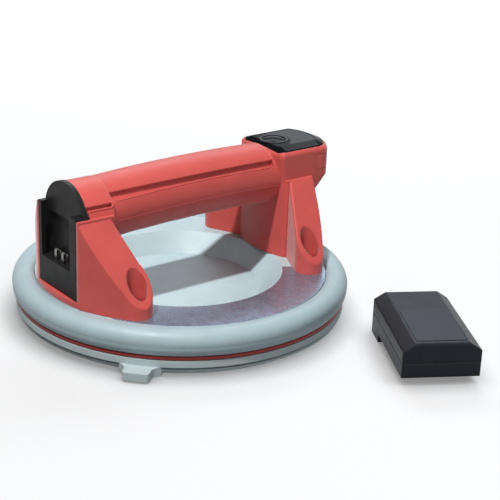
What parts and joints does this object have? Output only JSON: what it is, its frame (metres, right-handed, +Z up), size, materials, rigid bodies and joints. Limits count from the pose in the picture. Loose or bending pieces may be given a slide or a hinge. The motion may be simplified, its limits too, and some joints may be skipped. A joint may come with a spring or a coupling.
{
  "type": "battery suction lifter",
  "caption": "Round tile suction lifter: soft sealing pad under a dished base, red bridge handle with control head and battery dock, and its loose battery pack.",
  "frame": {"origin": "centre of the pad's sealing plane, on the surface it stands on", "axes": "+Z up, away from the work; +X along the handle from the battery dock to the control head; the near side of the handle is -Y"},
  "size_m": [0.2221, 0.2898, 0.1001],
  "materials": {
    "pad_rubber": "soft grey rubber, fine matt grain",
    "wear_red": "satin",
    "rim_grey": "soft-touch grey rubber, satin",
    "plate_grey": "semi-gloss moulded plastic",
    "foil": "bright metallised foil",
    "red_shell": "fine spark-eroded grain, satin",
    "dock_black": "satin",
    "panel_black": "piano gloss",
    "window_smoke": "smoked gloss",
    "steel": "zinc-plated",
    "spring_metal": "nickel-plated spring strip",
    "copper": "wound copper on laminated core",
    "magnet": "ferrite",
    "pump_plastic": "glass-filled",
    "soft_black": "matt",
    "hose_rubber": "translucent silicone",
    "filter_foam": "felt",
    "board": "solder-masked laminate",
    "switch": "moulded",
    "display": "liquid-crystal glass",
    "lead": "wire insulation",
    "pack_black": "fine grain, satin",
    "cell": "cell in its sleeve",
    "label": "printed film with plain lines"
  },
  "bodies": {
    "lifter": {"suction_pad": "pad_rubber", "wear_ring": "wear_red", "rim_ring": "rim_grey", "base_plate": "plate_grey", "port_filter": "filter_foam", "rating_label": "foil", "handle_body": "red_shell", "grip_cover": "red_shell", "battery_dock": "dock_black", "dock_contacts": "spring_metal", "control_panel": "panel_black", "display_window": "window_smoke", "head_end_cover": "red_shell", "handle_screws": "steel", "motor_can": "steel", "motor_magnets": "magnet", "pump_housing": "pump_plastic", "pump_diaphragm": "soft_black", "pump_valve_head": "pump_plastic", "pump_cushions": "soft_black", "check_valve": "pump_plastic", "vacuum_hoses": "hose_rubber", "port_fitting": "pump_plastic", "control_board": "board", "board_screws": "steel", "switch_body": "switch", "display_module": "display", "power_leads": "lead"},
    "button": {"power_button": "panel_black", "switch_plunger": "switch"},
    "rotor": {"motor_rotor": "copper"},
    "battery_pack": {"battery_lid": "pack_black", "battery_base": "pack_black", "battery_terminals": "spring_metal", "battery_cells": "cell", "battery_board": "board", "battery_label": "label"}
  },
  "joints": [
    {"name": "button_press", "type": "slide", "parent": "lifter", "child": "button", "axis": [0, 0, -1], "range_m": [0, 0.0012], "stiffness_N_per_m": 700, "springref_m": -0.0008},
    {"name": "motor_spin", "type": "hinge", "parent": "lifter", "child": "rotor", "pos_m": [0, 0, 0.0783], "axis": [1, 0, 0], "continuous": true},
    {"name": "battery_lift", "type": "slide", "parent": "lifter", "child": "battery_pack", "axis": [0, 0, 1], "range_m": [0, 0.08]}
  ]
}
